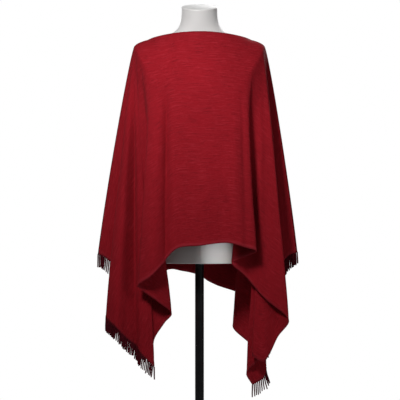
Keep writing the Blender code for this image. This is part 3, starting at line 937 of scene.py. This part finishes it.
def cloth_material(name):
    mat, tree, bsdf = start_material(
        name, Roughness=0.88, Specular_IOR_Level=0.12, Sheen_Weight=0.06, Sheen_Roughness=0.55,
        Sheen_Tint=RED_SHEEN)
    place = new_node(tree, "ShaderNodeUVMap", uv_map="cut").outputs[0]
    melange = use(tree, MELANGE, Place=place, Base=RED_BASE, Light=RED_LIGHT, Dark=RED_DARK,
                  Amount=MELANGE_AMOUNT)
    knit = use(tree, KNIT, Place=place, Pitch=KNIT_PITCH)
    blotch = use(tree, BLOTCH, Scale=5.0, Low=0.88, High=1.06)
    # paint the paler highlight of the rolled hem over the melange
    edge = new_node(tree, "ShaderNodeAttribute", attribute_name="hem")
    hem = new_node(tree, "ShaderNodeMix", data_type="RGBA", B=RED_HEM_HIGHLIGHT,
                   A=toned(tree, melange.outputs["Color"], blotch),
                   Factor=calc(tree, "MULTIPLY", edge.outputs["Fac"], HEM_HIGHLIGHT_SHARE))
    feed(tree, bsdf.inputs["Base Color"], hem.outputs["Result"])
    height = calc(tree, "MULTIPLY_ADD", melange.outputs["Streak"], STREAK_HEIGHT,
                  knit.outputs["Height"])
    roughen(tree, bsdf, height, strength=0.5, depth=CLOTH_RELIEF)
    return mat


for panel, name in ((front, "red_melange_front"), (back, "red_melange_back")):
    panel.data.materials.append(cloth_material(name))
print("cloth:", [panel.data.materials[0].name for panel in (front, back)])

# %% [markdown]
# ### The yarn of the fringe
# The fringe looks darker than the cloth, because light is lost between its strands, and that shade
# is painted into the yarn's colour, which is far darker than the cloth's red. Its yarn is twisted,
# so a slanting wave gives the relief.

# %% Yarn
# painted shade: the yarn's red is darkened for the light lost between the strands
YARN_RED_SHADED = (0.090, 0.005, 0.011)
TWIST_SCALE = 420.0
TWIST_RELIEF = 0.0004


def yarn_material(name):
    mat, tree, bsdf = start_material(name, Roughness=0.9, Specular_IOR_Level=0.1)
    blotch = use(tree, BLOTCH, Scale=160.0, Low=0.55, High=1.35)
    feed(tree, bsdf.inputs["Base Color"], toned(tree, YARN_RED_SHADED, blotch))
    where = new_node(tree, "ShaderNodeTexCoord")
    twist = new_node(tree, "ShaderNodeTexWave", bands_direction="DIAGONAL", Scale=TWIST_SCALE,
                     Vector=where.outputs["Object"])
    roughen(tree, bsdf, twist.outputs[1], strength=0.6, depth=TWIST_RELIEF)
    return mat


red_yarn = yarn_material("yarn_with_painted_shade")
print("yarn:", red_yarn.name)

# %% [markdown]
# ### Paint and steel
# The form is a shell with a fine flocked spray on it, which stays pale toward its edges, so
# it has some sheen. The cap is smoother, and the stand is dark coated steel. All have soft
# differences in tone and gloss and a very fine grain, so one function makes them all.

# %% Hard finishes
SHEEN_ROUGH = 0.6
HARD_FINISHES = [
    # name                color                  rough  metal  grain  relief  coat  sheen
    ("form_paint",       (0.66, 0.643, 0.632), 0.70, 0.00, 240.0, 0.0002, 0.0, 0.6),
    ("cap_paint",        (0.74, 0.725, 0.710), 0.45, 0.00, 240.0, 0.0001, 0.0, 0.6),
    ("dark_steel_looks", (0.03, 0.030, 0.032), 0.32, 0.75, 300.0, 0.0001, 0.2, 0.0),
    ("dark_base_looks",  (0.026, 0.026, 0.028), 0.50, 0.55, 420.0, 0.0003, 0.0, 0.0),
]


def hard_material(name, color, rough, metal, grain, depth, coat, sheen):
    mat, tree, bsdf = start_material(name, Metallic=metal, Coat_Weight=coat, Sheen_Weight=sheen,
                                     Sheen_Roughness=SHEEN_ROUGH)
    tone = use(tree, BLOTCH, Scale=3.5, Low=0.93, High=1.03)
    feed(tree, bsdf.inputs["Base Color"], toned(tree, color, tone))
    wear = use(tree, BLOTCH, Scale=22.0, Low=rough * 0.85, High=min(rough * 1.15, 1.0))
    feed(tree, bsdf.inputs["Roughness"], wear.outputs["Value"])
    relief = use(tree, BLOTCH, Scale=grain, Low=0.0, High=1.0)
    roughen(tree, bsdf, relief.outputs["Value"], strength=0.35, depth=depth)
    return mat


form_paint, cap_paint, dark_steel, dark_base = [hard_material(*row) for row in HARD_FINISHES]
print("hard finishes:", [row[0] for row in HARD_FINISHES])

# %% [markdown]
# ## Hang the four fringes
# Each short end of the cloth becomes a path, and each of its points knows which way a
# strand hangs there: down, and a little away from the cloth where the edge is steep.

# %% The path of a short end
FRINGE_AWAY = 0.10          # how far a strand leans away from the cloth, beside 1 for down
FRINGE_AWAY_STEEP = 0.45    # how much more it leans where the edge is upright
FRINGE_BITE = 0.001         # a strand starts this far inside the cloth's edge
NEAR = 1e-6                 # two places on the edge this close are the same one


def edge_path(name, table, grid, ats, first, last):
    """The cloth's short end as a line of points, each with the way a strand hangs."""
    knots = edge_knots(table)
    low, high = knots[row_of(table, first)], knots[row_of(table, last)]
    keep = [i for i, at in enumerate(ats) if low - NEAR <= at <= high + NEAR]
    verts, ways = [], []
    for i in keep:
        p = grid[i][-1]
        along = (grid[min(i + 1, len(grid) - 1)][-1] - grid[max(i - 1, 0)][-1]).normalized()
        down = (p - grid[i][-2]).normalized()
        away = (down - along * down.dot(along)).normalized()
        steep = abs(along.z) ** 3
        way = Vector((0, 0, -1)) + away * (FRINGE_AWAY + FRINGE_AWAY_STEEP * steep)
        verts.append(p - down * FRINGE_BITE)
        ways.append(-way.normalized())
    mesh = bpy.data.meshes.new(name)
    mesh.from_pydata(verts, [(k, k + 1) for k in range(len(verts) - 1)], [])
    hang = mesh.attributes.new("hang", "FLOAT_VECTOR", "POINT")
    for k, way in enumerate(ways):
        hang.data[k].vector = way
    return put(name, mesh), length_of(verts)


def socket_id(tree, name):
    return [s.identifier for s in tree.interface.items_tree
            if s.name == name and s.in_out == "INPUT"][0]


STRANDS_TREE = fringe_tree(red_yarn)
print("the tree reads its count from", socket_id(STRANDS_TREE, "Count"))

# %% [markdown]
# ### Strands on each end
# A tree's inputs are set by the identifier of their socket, since a name may be used twice.
# The number of strands follows from the length of the end. The result is turned into a
# plain mesh and the path goes, because only meshes are kept.

# %% Hang them
FRINGES = [
    # name                 table        grid        places     first           last           seed
    ("fringe_front_left",  FRONT_LINES, front_grid, front_ats, "left_end",     "left_corner",  3),
    ("fringe_front_right", FRONT_LINES, front_grid, front_ats, "right_corner", "right_end",    8),
    ("fringe_back_left",   BACK_LINES,  back_grid,  back_ats,  "left_end",     "left_corner", 15),
    ("fringe_back_right",  BACK_LINES,  back_grid,  back_ats,  "right_corner", "right_end",   21),
]
fringes = []
for node, table, grid, ats, first, last, seed in FRINGES:
    path, length = edge_path(node + "_path", table, grid, ats, first, last)
    hang = path.modifiers.new("strands", "NODES")
    hang.node_group = STRANDS_TREE
    count = round(length / STRAND_SPACE)
    hang[socket_id(STRANDS_TREE, "Count")] = count
    hang[socket_id(STRANDS_TREE, "Seed")] = seed
    bpy.context.view_layer.update()
    ready = path.evaluated_get(bpy.context.evaluated_depsgraph_get())
    mesh = bpy.data.meshes.new_from_object(ready)
    bpy.data.objects.remove(path)
    fringes.append((put(node + "_looks", mesh), node))
    print(node, "strands", count, "faces", len(mesh.polygons))

# %% [markdown]
# ## Dress form and stand
# The form is a smooth shell that is moulded in one piece, with a flat cap on the neck. Its
# sections are the solid's own, read through a smooth curve with more sides. The pole and
# base are turned steel, so each is a profile swept round the middle line.

# %% Sections of the form
FORM_SECTIONS = [
    # z      half_w  front   back    power
    (0.6870, 0.1440, 0.0950, 0.1020, 2.2),
    (0.7600, 0.1520, 0.1000, 0.1120, 2.2),
    (0.8300, 0.1540, 0.1000, 0.1120, 2.2),
    (0.9300, 0.1360, 0.0940, 0.0940, 2.2),
    (1.0300, 0.1200, 0.0900, 0.0860, 2.2),
    (1.1000, 0.1280, 0.1080, 0.0920, 2.2),
    (1.1500, 0.1380, 0.1420, 0.0980, 2.2),
    (1.1900, 0.1440, 0.1525, 0.1060, 2.2),
    (1.2300, 0.1480, 0.1440, 0.1180, 2.3),
    (1.2800, 0.1560, 0.1240, 0.1260, 2.4),
    (1.3250, 0.1780, 0.1020, 0.1120, 2.6),
    (1.3550, 0.2015, 0.0840, 0.0920, 2.6),
    (1.3690, 0.2015, 0.0740, 0.0820, 2.5),
    (1.3776, 0.1945, 0.0680, 0.0740, 2.4),
    (1.3838, 0.1806, 0.0640, 0.0680, 2.3),
    (1.3884, 0.1666, 0.0610, 0.0640, 2.2),
    (1.3926, 0.1540, 0.0590, 0.0610, 2.1),
    (1.4000, 0.1280, 0.0570, 0.0590, 2.0),
    (1.4080, 0.1000, 0.0560, 0.0575, 2.0),
    (1.4180, 0.0800, 0.0555, 0.0565, 2.0),
    (1.4330, 0.0660, 0.0560, 0.0560, 2.0),
    (1.4530, 0.0590, 0.0570, 0.0565, 2.0),
    (1.4730, 0.0565, 0.0580, 0.0565, 2.0),
]
print("form sections:", len(FORM_SECTIONS))

# %% [markdown]
# ### Sizes of the stand
# A stand of this kind has a pole nearly 3 cm thick, a round plate that is heavy enough not
# to tip, and a collar between the two. Parts that lie on each other are a hair apart, so
# that no two faces share a place.

# %% Sizes of the neck, cap, pole and base
CAP_T = 0.005
CAP_TILT = math.radians(14)
NECK_R_X = 0.0560
NECK_R_Y = 0.0580
NECK_TOP_Z = 1.492
FORM_SIDES = 96
POLE_R = 0.014
POLE_TOP_Z = 0.6865
BASE_R = 0.165
BASE_T = 0.012
BASE_EDGE = 0.003
SOCKET_R = 0.026
SOCKET_H = 0.030
FIT = 0.0003
print("pole", 2 * POLE_R, "m thick, base", 2 * BASE_R, "m across")

# %% [markdown]
# ### Rings into a closed piece
# Form, cap, pole and base are all stacks of rings, one above the other. One helper joins
# the rings and closes both ends, and the faces are turned outward once at the end.

# %% Helpers for stacks of rings
def stack(name, rings, mat):
    """A closed piece from rings that all have the same number of points."""
    n = len(rings[0])
    verts = [p for ring in rings for p in ring]
    faces = []
    for r in range(len(rings) - 1):
        for k in range(n):
            m = (k + 1) % n
            faces.append((r * n + k, r * n + m, (r + 1) * n + m, (r + 1) * n + k))
    faces.append(tuple(reversed(range(n))))
    faces.append(tuple((len(rings) - 1) * n + k for k in range(n)))
    mesh = bpy.data.meshes.new(name)
    mesh.from_pydata(verts, [], faces)
    turn_outward(mesh)
    mesh.materials.append(mat)
    return put(name, mesh)


def steps_round(sides):
    """Cosine and sine of equal steps round a circle."""
    angles = [2 * math.pi * k / sides for k in range(sides)]
    return [(math.cos(a), math.sin(a)) for a in angles]


def squarish(half_w, front_y, back_y, power, z):
    ring = []
    for c, s in steps_round(FORM_SIDES):
        x = half_w * math.copysign(abs(c) ** (2 / power), c)
        y = (back_y if s > 0 else front_y) * math.copysign(abs(s) ** (2 / power), s)
        ring.append((x, y, z))
    return ring


print("a ring of the form has", len(steps_round(FORM_SIDES)), "points")

# %% [markdown]
# ### The form and its cap
# The form's rings are read between the sections, so its waist and chest run smoothly. Its
# lower border is a small bevel, and its neck ends in a ring that tips forward. The cap lies
# on that ring with a rounded rim.

# %% Form and cap
FOOT_RING = (0.1415, 0.0925, 0.0995, 2.2, 0.6870)    # half width, front, back, power, z
FOOT_BEVEL = 0.0025
TALL_STEP = 0.02    # sections farther apart than this get one ring more between them
CAP_PROFILE = [
    # of the neck's size, of the cap's thickness
    (1.003, 0.00), (1.010, 0.12), (1.010, 0.65), (1.000, 0.90), (0.975, 1.00),
]


def neck_ring(grow, lift):
    ring = []
    for c, s in steps_round(FORM_SIDES):
        y = grow * NECK_R_Y * s
        ring.append((grow * NECK_R_X * c, y, NECK_TOP_Z + lift + y * math.tan(CAP_TILT)))
    return ring


levels = [row[0] for row in FORM_SECTIONS]
rings = [squarish(*FOOT_RING)]
for k in range(len(levels) - 1):
    steps = 3 if levels[k + 1] - levels[k] > TALL_STEP else 2
    for s in range(steps):
        z = levels[k] + (levels[k + 1] - levels[k]) * s / steps
        z += FOOT_BEVEL if k == 0 and s == 0 else 0.0
        half_w, front_y, back_y, power = spline([row[1:] for row in FORM_SECTIONS], levels, z)
        rings.append(squarish(half_w, front_y, back_y, power, z))
rings.append(squarish(*FORM_SECTIONS[-1][1:], levels[-1]))
rings.append(neck_ring(1.0, 0.0))
form = stack("form_looks", rings, form_paint)
cap_rings = [neck_ring(grow, FIT + up * CAP_T) for grow, up in CAP_PROFILE]
cap = stack("cap_looks", cap_rings, cap_paint)
print("form faces", len(form.data.polygons), "cap faces", len(cap.data.polygons))

# %% [markdown]
# ### The pole and the base
# Both are turned on a lathe, so a few pairs of radius and height are their whole shape. The
# pole ends below in a socket that stands on the base.

# %% Pole and base
POLE_SIDES = 64
BASE_SIDES = 96
SHARP_OVER = math.radians(35)
SOCKET_EDGE = 0.0040       # the collar's rim is bevelled by this, in two steps
SOCKET_ROUND = 0.0015
LOW_ROUND = 0.0008         # middle of the plate's lower and upper bevel
TOP_ROUND = 0.0009
POLE_PROFILE = [
    # radius                 height
    (SOCKET_R,                BASE_T + FIT),
    (SOCKET_R,                BASE_T + SOCKET_H * 0.80),
    (SOCKET_R - SOCKET_ROUND, BASE_T + SOCKET_H * 0.95),
    (SOCKET_R - SOCKET_EDGE,  BASE_T + SOCKET_H),
    (POLE_R,                  BASE_T + SOCKET_H),
    (POLE_R,                  POLE_TOP_Z),
]
BASE_PROFILE = [
    # radius             height
    (BASE_R - BASE_EDGE, 0.0),
    (BASE_R - LOW_ROUND, LOW_ROUND),
    (BASE_R,             BASE_EDGE),
    (BASE_R,             BASE_T - BASE_EDGE),
    (BASE_R - TOP_ROUND, BASE_T - TOP_ROUND),
    (BASE_R - BASE_EDGE, BASE_T),
]


def turned(name, profile, sides, mat):
    rings = [[(r * c, r * s, z) for c, s in steps_round(sides)] for r, z in profile]
    return stack(name, rings, mat)


pole = turned("pole_looks", POLE_PROFILE, POLE_SIDES, dark_steel)
base = turned("base_looks", BASE_PROFILE, BASE_SIDES, dark_base)
for item in (form, cap, pole, base):
    item.data.shade_smooth()
    item.data.set_sharp_from_angle(angle=SHARP_OVER)
print("hard pieces ready:", [o.name for o in (form, cap, pole, base)])

# %% [markdown]
# ## Put every piece in place of its solid
# Each piece stands for one solid, which is hidden and stays below it for touch and weight, and
# every piece is attached to the root body. A panel's area is less than its cut's width times
# length, because the small folds hidden in the drapes aren't built.

PIECES = [
    (front, "front_panel", "cloth_front"),
    (back, "back_panel", "cloth_back"),
    (form, "dress_form", "form_shell"),
    (cap, "neck_cap", "form_cap"),
    (pole, "pole", "dark_steel"),
    (base, "base_plate", "dark_base"),
] + [(item, node, "yarn") for item, node in fringes]
for item, node, slot in PIECES:
    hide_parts(node)
    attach(item, "root")
print("pieces tied:", len(PIECES))

# %% [markdown]
# ## Light
# The picture has one soft light, high in front and a little to the left, which leaves the
# troughs of the drapes dark on their left walls. Its cone is narrow, so the lower cloth gets
# less of it. A weak light fills in from the right, and two more serve the back and the left.
# A last one is small, low and very narrow. It shines in under the hem on the pale form, which
# would be in even shade without it, and leaves the slanting shadow that is seen there.

# %% Lights
LIGHTS = [
    # name       size   watts   cone  place                 aim
    ("key",       0.40,  5.0000,  62, (-0.56, -1.72, 2.25), (0.000,  0.00, 1.160)),
    ("fill",      1.20,  2.3000,  90, ( 1.90, -1.70, 1.50), (0.100,  0.00, 1.000)),
    ("behind",    1.60, 44.0000, 140, ( 0.90,  2.60, 2.20), (0.000,  0.00, 0.900)),
    ("left_side", 1.60,  2.4000, 140, (-2.70,  0.50, 1.60), (0.000,  0.00, 0.900)),
    ("low",       0.02,  0.0123,   6, ( 0.16, -1.35, 0.44), (0.058, -0.10, 0.706)),
]


def area_light(name, size, power, spread, place, aim):
    lamp = bpy.data.lights.new(name, "AREA")
    lamp.size = size
    lamp.energy = power
    lamp.spread = math.radians(spread)
    item = put(name, lamp)
    item.location = place
    item.rotation_euler = (Vector(aim) - Vector(place)).to_track_quat("-Z", "Y").to_euler()


for row in LIGHTS:
    area_light(*row)
bpy.context.scene.view_settings.view_transform = "Standard"
print("lights:", [row[0] for row in LIGHTS])

# %% [markdown]
# ## Floor
# The floor is pale and plain. It is also given a faint glow that only the camera sees, so
# that it stays pale without throwing light up under the cloth.

# %% Pale floor
FLOOR_R = 2.2
FLOOR_Z = -0.001    # a little under the base, so that the two don't share a place
FLOOR_SIDES = 96
FLOOR_TONE = (0.80, 0.80, 0.80, 1)
FLOOR_GLOW = 0.42
WHITE = (1, 1, 1, 1)
bpy.ops.mesh.primitive_circle_add(vertices=FLOOR_SIDES, radius=FLOOR_R, fill_type="NGON",
                                  location=(0, 0, FLOOR_Z))
floor = bpy.context.object
floor.name = "floor"
pale, tree, bsdf = start_material("pale_floor", Base_Color=FLOOR_TONE, Roughness=0.7,
                                  Emission_Color=WHITE)
seen = new_node(tree, "ShaderNodeLightPath").outputs["Is Camera Ray"]
feed(tree, bsdf.inputs["Emission Strength"], calc(tree, "MULTIPLY", seen, FLOOR_GLOW))
floor.data.materials.append(pale)
print("floor", round(floor.dimensions.x, 2), "m across")

# %% [markdown]
# ### White surround
# The camera sees a plain white room, as a shop picture has. To everything else the room is
# almost dark, since light from all sides would wash the folds out.

# %% Surround
SURROUND_LIGHT = 0.02
world = bpy.data.worlds.new("white_room")
bpy.context.scene.world = world
world.use_nodes = True
tree = world.node_tree
sky = tree.nodes["Background"]
sky.inputs["Color"].default_value = WHITE
seen = new_node(tree, "ShaderNodeLightPath").outputs["Is Camera Ray"]
level = new_node(tree, "ShaderNodeMapRange", Value=seen, To_Min=SURROUND_LIGHT, To_Max=1.0)
feed(tree, sky.inputs["Strength"], level.outputs["Result"])
print("the surround lights the scene with", SURROUND_LIGHT, "of what the camera sees")

# %% [markdown]
# ## Camera
# The picture is level and flat, as from far away with a long lens. At six metres the width
# of view sets the focal length, and the camera's height is that of the picture's middle.

# %% Camera
CAMERA_X = 0.0016
CAMERA_Z = 0.886
CAMERA_FAR = 6.0
VIEW_WIDTH = 1.266
SENSOR = 36.0    # mm
lens = bpy.data.cameras.new("camera")
camera = put("camera", lens)
bpy.context.scene.camera = camera
lens.sensor_width = SENSOR
lens.lens = SENSOR * CAMERA_FAR / VIEW_WIDTH
camera.location = (CAMERA_X, -CAMERA_FAR, CAMERA_Z)
camera.rotation_euler = (math.radians(90), 0, 0)
print("focal length", round(lens.lens, 1), "mm")
